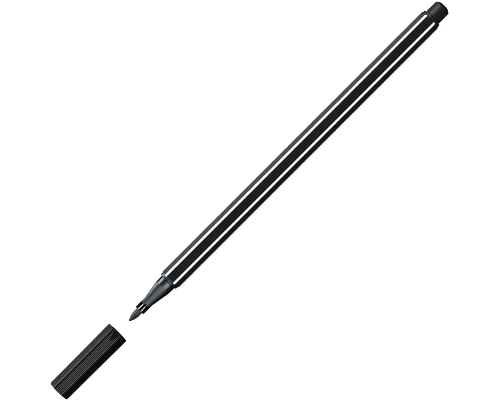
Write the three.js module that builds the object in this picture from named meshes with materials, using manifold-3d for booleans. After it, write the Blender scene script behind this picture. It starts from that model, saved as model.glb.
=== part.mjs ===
// A felt-tip pen with a hexagonal barrel. Its cap is pulled off and lies in line in front of the nib.
// Millimetres. The pen lies along X with its nib towards -X, its rear end towards +X, and +Z is up.
// A value that ends in At is a place along the pen, measured from the nib's tip towards the rear end.
import * as THREE from 'three';
import { mergeVertices } from 'three/addons/utils/BufferGeometryUtils.js';
import Module from 'manifold-3d';

const wasm = await Module();
wasm.setup();

// Clearances
const pressClearance = 0.03; // radial, between pieces that are pressed together
const bondClearance = 0.02; // round a stripe in its groove
const slideClearance = 0.06; // radial, between the cap and what it slides on
const buttClearance = 0.05; // along the pen, between pieces that meet end to end

// Nib
const nibRadius = 1.27;
const nibExposed = 5.25;
const nibPointLength = 3.6;
const nibPointFlare = 1.7;
const nibPointFullness = 0.74;
const nibInReservoir = 8;
const nibRearChamfer = 0.4;

// Front section that holds the nib
const collarLength = 2.75;
const collarRootRadius = 1.45;
const collarRibCount = 10;
const collarRibWidth = 0.46;
const collarRibCrown = 0.012; // how far a rib's edges stand below its crest
const collarRibTilt = 17.5; // degrees from +Z to the first rib
const neckLength = 1.7;
const neckRadius = 1.92;
const coneLength = 6.87;
const coneHollowness = 1.03;
const seatLength = 2.93;
const seatFrontRadius = 3.05;
const seatRadius = 3.1;
const flangeLength = 0.85;
const flangeRadius = 3.67;
const flangeEdge = 0.12;
const shankLength = 11;
const shankWall = 0.62;
const shankFloor = 1.6;
const ventCount = 4;
const ventRadius = 0.12;

// Barrel
const barrelLength = 129.36;
const barrelAcrossFlats = 7.36;
const barrelCornerRadius = 0.5;
const barrelBoreRadius = 2.85;
const barrelEndRadius = 3.8;
const barrelEndChamfer = 1;

// White stripes in the barrel's edges
const stripeReach = 0.5; // how far a stripe reaches from the sharp edge along each face
const stripeDepth = 0.9; // from the sharp edge to the stripe's root

// Ink reservoir
const wrapThickness = 0.12;
const wrapClearance = 0.1;

// Rear plug
const plugFlangeLength = 0.88;
const plugHeadLength = 5.98;
const plugHeadEndRadius = 3.05;
const plugEndChamfer = 0.75;
const plugEndRadius = 1.78;
const plugEndCrown = 0.1;
const plugShankLength = 12;
const plugWall = 0.7;
const plugEndWall = 1.3;

// Cap
const capGap = 5.5; // from the cap's mouth to the nib's tip while the cap is off
const capLength = 29.88;
const capMouthAcrossFlats = 7.58;
const capEndAcrossFlats = 7.26;
const capCornerRadius = 0.4;
const capEdgeRadius = 0.25; // round the closed end
const capMouthEdgeRadius = 0.16;
const capCrown = 0.3;
const capEndWall = 1.1;
const capBoreRadius = 2.95;
const capMouthBoreDepth = 6.2;
const capLeadIn = 0.15;
const panelDepth = 0.22;
const panelWallRun = 0.2;
const panelRibCount = 6;
const panelRibPitch = 0.5;
const panelRibHeight = 0.12;
const markLength = 4.3;
const markWidth = 2.7;
const markInset = 0.35;
const markDrop = 0.07; // from the face down to the mark's top
const markSlope = 0.1;
const markRoot = 0.12; // how far the mark runs into the cap below the panel's floor

// Seal inside the cap
const sealOverlap = 1.4; // how far the seal passes the neck's front end when the cap is on
const sealWall = 0.5;
const sealBoreRelief = 0.1;
const sealBeadLength = 0.8;
const sealLedge = 0.35;
const sealDiscThickness = 0.6;
const capVentCount = 3;
const capVentRadius = 0.26;

// The hexagon, whose corners hold the stripes and whose every other face has a panel on the cap
const faceCount = 6;
const panelCount = faceCount / 2;
const faceAngle = Math.PI / faceCount; // between a hexagon's corner and the middle of a face

// How finely round shapes are divided
const turnSegments = 48;
const cornerSteps = 4;
const rootSteps = 6;
const tipSteps = 9;
const coneSteps = 6;
const crownSteps = 3;
const roundSteps = 2;
const ventSides = 10;
const mergeTolerance = 1e-5;
const through = 1; // how far a cutting shape runs past what it cuts

// Places along the pen
const neckAt = nibExposed + collarLength;
const coneAt = neckAt + neckLength;
const seatAt = coneAt + coneLength;
const flangeAt = seatAt + seatLength;
const barrelAt = flangeAt + flangeLength + buttClearance;
const barrelEndAt = barrelAt + barrelLength;
const shankEndAt = barrelAt + shankLength;
const reservoirAt = shankEndAt + buttClearance;
const nibEndAt = reservoirAt + nibInReservoir;
const plugFlangeAt = barrelEndAt + buttClearance;
const plugHeadAt = plugFlangeAt + plugFlangeLength;
const plugEndAt = plugHeadAt + plugHeadLength;
const plugShankAt = barrelEndAt - plugShankLength;
const reservoirEndAt = plugShankAt - buttClearance;
const capMouthAt = -capGap;
const capEndAt = capMouthAt - capLength;

// Sizes that follow from the ones above
const shankRadius = barrelBoreRadius - pressClearance;
const nibBoreRadius = nibRadius + pressClearance;
const wrapRadius = barrelBoreRadius - wrapClearance;
const coreRadius = wrapRadius - wrapThickness - pressClearance;
const capMouthBoreRadius = seatRadius + slideClearance;
const sealBoreRadius = neckRadius + slideClearance + sealBoreRelief;
const sealRadius = sealBoreRadius + sealWall;
const sealDiscRadius = sealRadius + sealLedge;
const capTravel = flangeAt - capMouthAt;
const sealMouthAt = neckAt + sealOverlap - capTravel;
const barrelCornerReach = barrelAcrossFlats / 2 / Math.cos(faceAngle);

// The origin is under the middle of the whole length, at the height of the lowest face.
const middleAt = (capEndAt + plugEndAt) / 2;
const axisHeight = Math.max(capHalfAt(capMouthAt - capMouthEdgeRadius), barrelAcrossFlats / 2);

const materials = {
  blackGloss: new THREE.MeshStandardMaterial({ color: 0x1b1b1d, roughness: 0.35, metalness: 0 }),
  blackSatin: new THREE.MeshStandardMaterial({ color: 0x232325, roughness: 0.5, metalness: 0 }),
  blackMoulded: new THREE.MeshStandardMaterial({ color: 0x2b2d31, roughness: 0.3, metalness: 0 }),
  whitePlastic: new THREE.MeshStandardMaterial({ color: 0xf6f6f4, roughness: 0.4, metalness: 0 }),
  inkedFibre: new THREE.MeshStandardMaterial({ color: 0x3c3c3e, roughness: 0.95, metalness: 0 }),
  reservoirFibre: new THREE.MeshStandardMaterial({ color: 0x1d1d24, roughness: 0.95, metalness: 0 }),
  clearFilm: new THREE.MeshStandardMaterial({ color: 0xd8dce0, roughness: 0.2, metalness: 0 }),
};

// Merges shared corners and drops triangles that have shrunk to a line.
function closeUp(geometry) {
  geometry.deleteAttribute('normal');
  geometry.deleteAttribute('uv');
  const merged = mergeVertices(geometry, mergeTolerance);
  const corners = merged.getIndex().array;
  const kept = [];
  for (let i = 0; i < corners.length; i += 3) {
    const [a, b, c] = corners.slice(i, i + 3);
    if (a !== b && b !== c && c !== a) {
      kept.push(a, b, c);
    }
  }
  merged.setIndex(kept);
  return merged;
}

function toSolid(geometry) {
  const closed = closeUp(geometry);
  const vertProperties = new Float32Array(closed.getAttribute('position').array);
  const triVerts = new Uint32Array(closed.getIndex().array);
  return new wasm.Manifold(new wasm.Mesh({ numProp: 3, vertProperties, triVerts }));
}

function toGeometry(solid) {
  const mesh = solid.getMesh();
  const geometry = new THREE.BufferGeometry();
  geometry.setAttribute('position', new THREE.BufferAttribute(new Float32Array(mesh.vertProperties), 3));
  geometry.setIndex(new THREE.BufferAttribute(new Uint32Array(mesh.triVerts), 1));
  return geometry;
}

// Turns an outline of [place along the pen, radius] points round the pen's axis.
function turned(outline) {
  const points = outline.map(([at, radius]) => new THREE.Vector2(radius, at));
  const geometry = new THREE.LatheGeometry([...points, points[0]], turnSegments);
  const lieAlongX = new THREE.Matrix4().makeBasis(
    new THREE.Vector3(0, 0, 1),
    new THREE.Vector3(1, 0, 0),
    new THREE.Vector3(0, 1, 0),
  );
  return geometry.applyMatrix4(lieAlongX);
}

// Pulls an outline of [y, z] points along the pen from one place to another.
function pulled(outline, fromAt, toAt) {
  const shape = new THREE.Shape(outline.map(([y, z]) => new THREE.Vector2(y, z)));
  const geometry = new THREE.ExtrudeGeometry(shape, { depth: toAt - fromAt, bevelEnabled: false });
  const standAlongX = new THREE.Matrix4().makeBasis(
    new THREE.Vector3(0, 1, 0),
    new THREE.Vector3(0, 0, 1),
    new THREE.Vector3(1, 0, 0),
  );
  return geometry.applyMatrix4(standAlongX).translate(fromAt, 0, 0);
}

// A straight round rod along the pen, off the axis.
function rod(radius, fromAt, toAt, y, z) {
  const outline = [];
  for (let i = 0; i < ventSides; i += 1) {
    const angle = (2 * Math.PI * i) / ventSides;
    outline.push([y + radius * Math.cos(angle), z + radius * Math.sin(angle)]);
  }
  return pulled(outline, fromAt, toAt);
}

// Rods spread evenly round the axis, joined into one solid.
function ringOfRods(count, radius, ringRadius, fromAt, toAt) {
  let rods;
  for (let i = 0; i < count; i += 1) {
    const angle = Math.PI / 2 + (2 * Math.PI * i) / count;
    const one = toSolid(rod(radius, fromAt, toAt, ringRadius * Math.cos(angle), ringRadius * Math.sin(angle)));
    rods = rods ? rods.add(one) : one;
  }
  return rods;
}

// Turns a point given along and across a direction into [y, z].
function turnedPoint(along, across, angle) {
  const y = along * Math.cos(angle) - across * Math.sin(angle);
  const z = along * Math.sin(angle) + across * Math.cos(angle);
  return [y, z];
}

// The rounded corner of a hexagon as [along, across] points about the corner's own direction.
function cornerArc(halfAcrossFlats, radius) {
  const centre = (halfAcrossFlats - radius) / Math.cos(faceAngle);
  const points = [];
  for (let i = 0; i <= cornerSteps; i += 1) {
    const angle = THREE.MathUtils.lerp(-faceAngle, faceAngle, i / cornerSteps);
    points.push([centre + radius * Math.cos(angle), radius * Math.sin(angle)]);
  }
  return points;
}

// The rounded root of a stripe, or of its groove, from one side of the corner to the other.
function stripeRoot(clearance) {
  const halfWidth = stripeReach * Math.cos(faceAngle);
  const centre = barrelCornerReach - stripeReach * Math.sin(faceAngle);
  const depth = stripeDepth - stripeReach * Math.sin(faceAngle);
  const points = [];
  for (let i = 0; i <= rootSteps; i += 1) {
    const angle = THREE.MathUtils.lerp(-Math.PI / 2, Math.PI / 2, i / rootSteps);
    points.push([
      centre - (depth - clearance) * Math.cos(angle),
      (halfWidth - clearance) * Math.sin(angle),
    ]);
  }
  return points;
}

function cornerDirection(corner) {
  return corner * 2 * faceAngle;
}

// The barrel's outside with both ends chamfered as on a lathe. It trims the barrel and the stripes alike.
function barrelTrim() {
  return toSolid(turned([
    [barrelAt, 0],
    [barrelAt, barrelEndRadius],
    [barrelAt + barrelEndChamfer, barrelCornerReach],
    [barrelEndAt - barrelEndChamfer, barrelCornerReach],
    [barrelEndAt, barrelEndRadius],
    [barrelEndAt, 0],
  ]));
}

function makeBarrel() {
  const outline = [];
  for (let corner = 0; corner < faceCount; corner += 1) {
    const groove = stripeRoot(0);
    outline.push(...groove.map(([along, across]) => turnedPoint(along, across, cornerDirection(corner))));
  }
  const bore = toSolid(turned([
    [barrelAt - through, 0],
    [barrelAt - through, barrelBoreRadius],
    [barrelEndAt + through, barrelBoreRadius],
    [barrelEndAt + through, 0],
  ]));
  const solid = toSolid(pulled(outline, barrelAt, barrelEndAt));
  return toGeometry(solid.intersect(barrelTrim()).subtract(bore));
}

function makeEdgeStripe(corner) {
  const halfWidth = stripeReach * Math.cos(faceAngle) - bondClearance;
  const sideReach = barrelCornerReach - halfWidth * Math.tan(faceAngle);
  const section = [
    [sideReach, -halfWidth],
    ...cornerArc(barrelAcrossFlats / 2, barrelCornerRadius),
    [sideReach, halfWidth],
    ...stripeRoot(bondClearance).reverse(),
  ];
  const outline = section.map(([along, across]) => turnedPoint(along, across, cornerDirection(corner)));
  return toGeometry(toSolid(pulled(outline, barrelAt, barrelEndAt)).intersect(barrelTrim()));
}

function makeNib() {
  const outline = [[0, 0]];
  for (let i = 1; i <= tipSteps; i += 1) {
    const at = nibPointLength * (i / tipSteps) ** 2;
    const fullness = 1 - (1 - at / nibPointLength) ** nibPointFlare;
    outline.push([at, nibRadius * fullness ** nibPointFullness]);
  }
  outline.push(
    [nibEndAt - nibRearChamfer, nibRadius],
    [nibEndAt, nibRadius - nibRearChamfer],
    [nibEndAt, 0],
  );
  return turned(outline);
}

// The ribs that stand round the nib's root.
function collarRibs() {
  const outline = [
    [-collarRibWidth / 2, nibBoreRadius],
    [collarRibWidth / 2, nibBoreRadius],
    [collarRibWidth / 2, neckRadius - collarRibCrown],
    [0, neckRadius],
    [-collarRibWidth / 2, neckRadius - collarRibCrown],
  ];
  let ribs;
  for (let i = 0; i < collarRibCount; i += 1) {
    const angle = THREE.MathUtils.degToRad(collarRibTilt) + (2 * Math.PI * i) / collarRibCount;
    const section = outline.map(([across, along]) => turnedPoint(along, across, Math.PI / 2 + angle));
    const rib = toSolid(pulled(section.reverse(), nibExposed, neckAt + pressClearance));
    ribs = ribs ? ribs.add(rib) : rib;
  }
  return ribs;
}

function makeNibHolder() {
  const outline = [
    [nibExposed, 0],
    [nibExposed, collarRootRadius],
    [neckAt, collarRootRadius],
    [neckAt, neckRadius],
  ];
  for (let i = 0; i <= coneSteps; i += 1) {
    const share = i / coneSteps;
    const swell = (seatFrontRadius - neckRadius) * share ** coneHollowness;
    outline.push([coneAt + coneLength * share, neckRadius + swell]);
  }
  outline.push(
    [flangeAt, seatRadius],
    [flangeAt, flangeRadius - flangeEdge],
    [flangeAt + flangeEdge, flangeRadius],
    [flangeAt + flangeLength, flangeRadius],
    [flangeAt + flangeLength, shankRadius],
    [shankEndAt, shankRadius],
    [shankEndAt, 0],
  );
  const nibBore = toSolid(turned([
    [nibExposed - through, 0],
    [nibExposed - through, nibBoreRadius],
    [shankEndAt + through, nibBoreRadius],
    [shankEndAt + through, 0],
  ]));
  const hollow = toSolid(turned([
    [flangeAt - shankFloor, 0],
    [flangeAt - shankFloor, shankRadius - shankWall],
    [shankEndAt + through, shankRadius - shankWall],
    [shankEndAt + through, 0],
  ]));
  const vents = ringOfRods(ventCount, ventRadius, nibBoreRadius, nibExposed - through, flangeAt);
  const body = toSolid(turned(outline)).add(collarRibs());
  return toGeometry(body.subtract(nibBore).subtract(hollow).subtract(vents));
}

function makeReservoirCore() {
  return turned([
    [reservoirAt, nibBoreRadius],
    [reservoirAt, coreRadius],
    [reservoirEndAt, coreRadius],
    [reservoirEndAt, 0],
    [nibEndAt + buttClearance, 0],
    [nibEndAt + buttClearance, nibBoreRadius],
  ]);
}

function makeReservoirWrap() {
  return turned([
    [reservoirAt, wrapRadius],
    [reservoirEndAt, wrapRadius],
    [reservoirEndAt, wrapRadius - wrapThickness],
    [reservoirAt, wrapRadius - wrapThickness],
  ]);
}

function makeRearPlug() {
  const hollowRadius = shankRadius - plugWall;
  return turned([
    [plugShankAt, hollowRadius],
    [plugShankAt, shankRadius],
    [plugFlangeAt, shankRadius],
    [plugFlangeAt, flangeRadius],
    [plugHeadAt - flangeEdge, flangeRadius],
    [plugHeadAt, flangeRadius - flangeEdge],
    [plugHeadAt, seatRadius],
    [plugEndAt - plugEndCrown - plugEndChamfer, plugHeadEndRadius],
    [plugEndAt - plugEndCrown, plugEndRadius],
    [plugEndAt, plugEndRadius - plugEndCrown],
    [plugEndAt, 0],
    [plugEndAt - plugEndWall, 0],
    [plugEndAt - plugEndWall, hollowRadius],
  ]);
}

// A sunk panel of fine ribs in one face of the cap, as [out, across] points.
function ribbedPanel(halfAcrossFlats) {
  const floor = halfAcrossFlats - panelDepth;
  const halfRibs = (panelRibCount * panelRibPitch) / 2;
  const points = [[halfAcrossFlats, -halfRibs - panelWallRun], [floor, -halfRibs]];
  for (let i = 0; i < panelRibCount; i += 1) {
    const crest = -halfRibs + panelRibPitch * (i + 0.5);
    points.push([floor + panelRibHeight, crest], [floor, crest + panelRibPitch / 2]);
  }
  points.push([halfAcrossFlats, halfRibs + panelWallRun]);
  return points;
}

// The cap's outline as [y, z] points, drawn in by an inset. Every other face has a panel.
function capOutline(halfAcrossFlats, inset) {
  const outline = [];
  for (let corner = 0; corner < faceCount; corner += 1) {
    const arc = cornerArc(halfAcrossFlats - inset, capCornerRadius - inset);
    const face = corner % 2 === 1 ? ribbedPanel(halfAcrossFlats - inset) : [];
    const direction = cornerDirection(corner);
    outline.push(...arc.map(([along, across]) => turnedPoint(along, across, direction)));
    outline.push(...face.map(([out, across]) => turnedPoint(out, across, direction + faceAngle)));
  }
  return outline;
}

// Joins rings of equally many points into one closed skin, with a point in the middle of each end.
function skinOver(rings) {
  const middleOf = (ring) => [ring[0][0], 0, 0];
  const size = rings[0].length;
  const points = [...rings.flat(), middleOf(rings[0]), middleOf(rings.at(-1))];
  const corners = [];
  for (let i = 0; i < size; i += 1) {
    const next = (i + 1) % size;
    for (let ring = 0; ring + 1 < rings.length; ring += 1) {
      const [a, b] = [ring * size + i, ring * size + next];
      corners.push(a, b, b + size, a, b + size, a + size);
    }
    const last = (rings.length - 1) * size;
    corners.push(points.length - 2, next, i, points.length - 1, last + i, last + next);
  }
  const geometry = new THREE.BufferGeometry();
  geometry.setAttribute('position', new THREE.Float32BufferAttribute(points.flat(), 3));
  geometry.setIndex(corners);
  return geometry;
}

// How far the cap's closed end stands back at a distance from the axis, because it is crowned.
function crownDrop(y, z) {
  return (capCrown * (y * y + z * z)) / (capEndAcrossFlats / 2) ** 2;
}

function capHalfAt(at) {
  const share = (at - capEndAt) / capLength;
  return THREE.MathUtils.lerp(capEndAcrossFlats, capMouthAcrossFlats, share) / 2;
}

// The cap's outside, from the closed end to the mouth.
function capSkin() {
  const rings = [];
  const endRim = capOutline(capHalfAt(capEndAt), capEdgeRadius);
  for (let i = 1; i < crownSteps; i += 1) {
    const scale = i / crownSteps;
    rings.push(endRim.map(([y, z]) => [capEndAt + crownDrop(y * scale, z * scale), y * scale, z * scale]));
  }
  for (let i = 0; i <= roundSteps; i += 1) {
    const angle = (Math.PI / 2) * (i / roundSteps);
    const outline = capOutline(capHalfAt(capEndAt), capEdgeRadius * (1 - Math.sin(angle)));
    const back = capEdgeRadius * (1 - Math.cos(angle));
    rings.push(outline.map(([y, z]) => [capEndAt + crownDrop(y, z) + back, y, z]));
  }
  for (let i = 0; i <= roundSteps; i += 1) {
    const angle = (Math.PI / 2) * (i / roundSteps);
    const at = capMouthAt - capMouthEdgeRadius * (1 - Math.sin(angle));
    const outline = capOutline(capHalfAt(at), capMouthEdgeRadius * (1 - Math.cos(angle)));
    rings.push(outline.map(([y, z]) => [at, y, z]));
  }
  return toSolid(skinOver(rings));
}

// A smooth arrowhead on a panel. Its base is at the mouth and it points to the closed end.
function capMark() {
  const baseAt = capMouthAt - markInset;
  const plan = [[baseAt - markLength, 0], [baseAt, -markWidth / 2], [baseAt, markWidth / 2]];
  const shrink = 1 - (2 * markSlope) / markWidth;
  const middle = plan.reduce((sum, [at]) => sum + at, 0) / plan.length;
  const foot = plan.map(([at, y]) => [at, y, capHalfAt(at) - panelDepth - markRoot]);
  const top = plan.map(([at, y]) => {
    const topAt = middle + (at - middle) * shrink;
    return [topAt, y * shrink, capHalfAt(topAt) - markDrop];
  });
  const geometry = new THREE.BufferGeometry();
  geometry.setAttribute('position', new THREE.Float32BufferAttribute([...foot, ...top].flat(), 3));
  const sides = [0, 1, 2].flatMap((a) => {
    const b = (a + 1) % 3;
    return [a, b, b + 3, a, b + 3, a + 3];
  });
  geometry.setIndex([2, 1, 0, 3, 4, 5, ...sides]);
  return geometry;
}

// Holes through the cap's closed end that let air pass.
function capVents() {
  const toAt = capEndAt + capEndWall + through;
  return ringOfRods(capVentCount, capVentRadius, sealRadius + sealLedge / 2, capEndAt - through, toAt);
}

function makeCapShell() {
  const ledgeAt = capEndAt + sealDiscThickness;
  const hollow = toSolid(turned([
    [capEndAt - through, 0],
    [capEndAt - through, sealDiscRadius + pressClearance],
    [ledgeAt, sealDiscRadius + pressClearance],
    [ledgeAt, sealRadius + pressClearance],
    [capEndAt + capEndWall, sealRadius + pressClearance],
    [capEndAt + capEndWall, capBoreRadius],
    [capMouthAt - capMouthBoreDepth - capLeadIn, capBoreRadius],
    [capMouthAt - capMouthBoreDepth, capMouthBoreRadius],
    [capMouthAt - capLeadIn, capMouthBoreRadius],
    [capMouthAt + through, capMouthBoreRadius + capLeadIn + through],
    [capMouthAt + through, 0],
  ]));
  let solid = capSkin();
  for (let panel = 0; panel < panelCount; panel += 1) {
    const turn = new THREE.Matrix4().makeRotationX((2 * Math.PI * panel) / panelCount);
    solid = solid.add(toSolid(capMark().applyMatrix4(turn)));
  }
  return toGeometry(solid.subtract(hollow).subtract(capVents()));
}

function makeCapInnerSeal() {
  const bottomAt = capEndAt + sealDiscThickness;
  const outline = [];
  for (let i = 0; i <= crownSteps; i += 1) {
    const radius = (sealDiscRadius * i) / crownSteps;
    outline.push([capEndAt + crownDrop(radius, 0), radius]);
  }
  outline.push(
    [bottomAt - buttClearance, sealDiscRadius],
    [bottomAt - buttClearance, sealRadius],
    [sealMouthAt, sealRadius],
    [sealMouthAt, sealBoreRadius],
    [sealMouthAt - sealBoreRelief, sealBoreRadius - sealBoreRelief],
    [sealMouthAt - sealBeadLength, sealBoreRadius - sealBoreRelief],
    [sealMouthAt - sealBeadLength - sealBoreRelief, sealBoreRadius],
    [capEndAt + capEndWall, sealBoreRadius],
    [capEndAt + capEndWall, 0],
  );
  return toGeometry(toSolid(turned(outline)).subtract(capVents()));
}

const pen = new THREE.Group();
pen.position.set(-middleAt, 0, axisHeight);

function addPiece(name, geometry, material) {
  const mesh = new THREE.Mesh(geometry, material);
  mesh.name = name;
  pen.add(mesh);
}

addPiece('barrel', makeBarrel(), materials.blackSatin);
for (let corner = 0; corner < faceCount; corner += 1) {
  addPiece(`edge_stripe_${corner + 1}`, makeEdgeStripe(corner), materials.whitePlastic);
}
addPiece('nib_holder', makeNibHolder(), materials.blackMoulded);
addPiece('nib', makeNib(), materials.inkedFibre);
addPiece('reservoir_core', makeReservoirCore(), materials.reservoirFibre);
addPiece('reservoir_wrap', makeReservoirWrap(), materials.clearFilm);
addPiece('rear_plug', makeRearPlug(), materials.blackMoulded);
addPiece('cap_shell', makeCapShell(), materials.blackGloss);
addPiece('cap_inner_seal', makeCapInnerSeal(), materials.blackMoulded);

const group = new THREE.Group();
group.add(pen);

export default group;
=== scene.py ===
import math

import bmesh
import bpy
from mathutils import Matrix, Vector, noise


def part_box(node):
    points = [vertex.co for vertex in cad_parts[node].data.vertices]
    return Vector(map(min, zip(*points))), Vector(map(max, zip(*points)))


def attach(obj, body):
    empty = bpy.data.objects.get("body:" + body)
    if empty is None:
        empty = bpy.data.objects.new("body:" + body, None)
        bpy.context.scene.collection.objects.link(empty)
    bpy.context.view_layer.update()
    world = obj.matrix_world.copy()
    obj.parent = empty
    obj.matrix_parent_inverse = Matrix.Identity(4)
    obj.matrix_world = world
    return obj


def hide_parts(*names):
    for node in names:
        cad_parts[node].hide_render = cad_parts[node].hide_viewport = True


# A felt-tip pen that lies with its cap pulled off, in line in front of the nib.
# Shapes are drawn in millimetres as (place along the pen, y, z) about the pen's axis. A place along
# the pen is measured from the nib's tip towards the rear end. Each finished piece is set down in the
# model's frame in metres. Constants are in millimetres and degrees where no comment says otherwise,
# apart from HALF_FACE and GLOSS_SPREAD, which are in radians.
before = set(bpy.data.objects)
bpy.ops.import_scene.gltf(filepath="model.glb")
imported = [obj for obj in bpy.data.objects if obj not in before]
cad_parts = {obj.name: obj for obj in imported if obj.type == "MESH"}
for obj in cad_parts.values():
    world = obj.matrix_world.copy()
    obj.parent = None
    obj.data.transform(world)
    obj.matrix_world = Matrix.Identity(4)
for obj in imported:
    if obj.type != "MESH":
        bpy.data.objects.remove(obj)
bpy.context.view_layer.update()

MM = 0.001

# The nib's tip, the barrel's corners and the axis's height, in metres in the model's frame
TIP_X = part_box("nib")[0].x
BARREL_LOW, BARREL_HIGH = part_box("barrel")
AXIS_Z = (BARREL_LOW.z + BARREL_HIGH.z) / 2


def place_of(x):
    """The place along the pen, in millimetres, of an x in the model's frame."""
    return (x - TIP_X) / MM


def span(node):
    """Where a node starts and ends along the pen."""
    low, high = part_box(node)
    return place_of(low.x), place_of(high.x)


def reach(node):
    """How far a node reaches sideways from the axis."""
    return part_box(node)[1].y / MM


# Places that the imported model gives
HOLDER_AT, SHANK_END_AT = span("nib_holder")
NIB_AT, NIB_END_AT = span("nib")
BARREL_AT, BARREL_END_AT = span("barrel")
PLUG_SHANK_AT, PLUG_END_AT = span("rear_plug")
CAP_END_AT, SEAL_MOUTH_AT = span("cap_inner_seal")
CAP_MOUTH_AT = span("cap_shell")[1]

# Clearances
PRESS_GAP = 0.03
BOND_GAP = 0.02
SLIDE_GAP = 0.06
BUTT_GAP = 0.05

# Nib
NIB_RADIUS = reach("nib")
NIB_POINT_LENGTH = 3.6
NIB_POINT_FLARE = 1.7
NIB_POINT_FULLNESS = 0.74
NIB_REAR_CHAMFER = 0.4
NIB_FIBRE_RELIEF = 0.014
NIB_STRANDS_ALONG = 0.6
NIB_STRANDS_ACROSS = 7
NIB_RELIEF_STOP = 0.3

# Front section that holds the nib
COLLAR_LENGTH = 2.75
COLLAR_ROOT_RADIUS = 1.45
COLLAR_RIBS = 10
RIB_WIDTH = 0.46
RIB_TILT = 17.5
RIB_CROWN = 0.012
RIB_EDGE = 0.05
RIB_BEVEL = 0.02
RECESS_FACING = 0.9
NECK_LENGTH = 1.7
NECK_RADIUS = 1.92
CONE_LENGTH = 6.87
CONE_HOLLOWNESS = 1.03
SEAT_LENGTH = 2.93
SEAT_FRONT_RADIUS = 3.05
SEAT_RADIUS = 3.1
FLANGE_LENGTH = 0.85
FLANGE_RADIUS = reach("nib_holder")
FLANGE_EDGE = 0.16
CRISP_EDGE = 0.04
RELIEF_WIDTH = 0.24
RELIEF_DEPTH = 0.12
SHANK_WALL = 0.62
SHANK_FLOOR = 1.6
NIB_VENTS = 4
NIB_VENT_RADIUS = 0.12

# Barrel
BARREL_FLATS = (BARREL_HIGH.z - BARREL_LOW.z) / MM
BARREL_CORNER_RADIUS = 0.5
BARREL_BORE_RADIUS = 2.85
BARREL_END_RADIUS = 3.8
BARREL_END_CHAMFER = 1
BORE_LEAD = 0.12
FACE_CROWN = 0.045
FACE_CROWN_POWER = 4

# White stripes in the barrel's edges
STRIPE_REACH = 0.5
STRIPE_DEPTH = 0.9

# Rear plug
PLUG_FLANGE_LENGTH = 0.88
PLUG_HEAD_END_RADIUS = 3.05
PLUG_END_CHAMFER = 0.75
PLUG_END_RADIUS = 1.78
PLUG_END_CROWN = 0.1
PLUG_WALL = 0.7
PLUG_END_WALL = 1.3
GATE_RADIUS = 0.55
GATE_DEPTH = 0.12

# Cap
CAP_MOUTH_FLATS = 7.58
CAP_END_FLATS = 7.26
CAP_CORNER_RADIUS = 0.4
CAP_EDGE_RADIUS = 0.25
CAP_MOUTH_EDGE_RADIUS = 0.16
CAP_CROWN = 0.3
CAP_END_WALL = 1.1
CAP_BORE_RADIUS = 2.95
CAP_MOUTH_BORE_DEPTH = 6.2
CAP_LEAD_IN = 0.15
PANEL_DEPTH = 0.22
PANEL_WALL_RUN = 0.2
PANEL_LIP = 0.04
PANEL_LIP_DROP = PANEL_LIP / 3
PANEL_RIBS = 6
PANEL_RIB_PITCH = 0.5
PANEL_RIB_HEIGHT = 0.12
MARK_LENGTH = 4.3
MARK_WIDTH = 2.7
MARK_INSET = 0.35
MARK_DROP = 0.07
MARK_SLOPE = 0.1
MARK_EASE = 0.15
MARK_EASE_DROP = 0.025
MARK_FOOT = 1.5

# Seal inside the cap
SEAL_WALL = 0.5
SEAL_BORE_RELIEF = 0.1
SEAL_BEAD_LENGTH = 0.8
SEAL_LEDGE = 0.35
SEAL_DISC_THICKNESS = 0.6
CAP_VENTS = 3
CAP_VENT_RADIUS = 0.26

# Sizes that follow from the ones above
NECK_AT = HOLDER_AT + COLLAR_LENGTH
CONE_AT = NECK_AT + NECK_LENGTH
SEAT_AT = CONE_AT + CONE_LENGTH
FLANGE_AT = SEAT_AT + SEAT_LENGTH
PLUG_FLANGE_AT = BARREL_END_AT + BUTT_GAP
PLUG_HEAD_AT = PLUG_FLANGE_AT + PLUG_FLANGE_LENGTH
SHANK_RADIUS = BARREL_BORE_RADIUS - PRESS_GAP
NIB_BORE_RADIUS = NIB_RADIUS + PRESS_GAP
SEAL_BORE_RADIUS = NECK_RADIUS + SLIDE_GAP + SEAL_BORE_RELIEF
SEAL_RADIUS = SEAL_BORE_RADIUS + SEAL_WALL
SEAL_DISC_RADIUS = SEAL_RADIUS + SEAL_LEDGE
CAP_MOUTH_BORE_RADIUS = SEAT_RADIUS + SLIDE_GAP
FACES = 6
HALF_FACE = math.pi / FACES
BARREL_CORNER_REACH = BARREL_FLATS / 2 / math.cos(HALF_FACE)

# How finely shapes are divided, and how far a cutting shape runs past what it cuts
TURN_STEPS = 128
CORNER_STEPS = 10
ROOT_STEPS = 16
FACE_STEPS = 28
CHAMFER_STEPS = 14
EDGE_STEPS = 5
RIB_STEPS = 8
POINT_STEPS = 30
CONE_STEPS = 24
VENT_STEPS = 20
DISC_STEPS = 6
BACKDROP_STEPS = 48
THROUGH = 1
SAME_POINT = 0.0004

# Where corners are rounded off and where shading breaks
STRAIGHT_BELOW = 12
EDGE_SHARE = 0.45
CREASE = 32
FIBRE_CREASE = 60
EVEN_SHADING = 100

# Grains of the materials, as (along the pen, across it), and the film's own look
CLOUD_GRAIN = (9, 3)
TUFT_GRAIN = (0.9, 0.5)
WRINKLE_GRAIN = (6, 0.8)
WRINKLE_DEPTH = 0.02
FILM_CLEARNESS = 0.6

# Camera. The view's centre is a place along the pen, y and z, and the distance and range are in metres.
PHOTO_WIDTH_MM = 175.71
VIEW_CENTRE = (60.145, 0.017, 0)
VIEW_TURN = -45
CAMERA_LEAN = 2.2
CAMERA_DISTANCE = 1.4
CAMERA_RANGE = 20
SENSOR_WIDTH = 36
PIXEL_FILTER = 0.7

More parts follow.
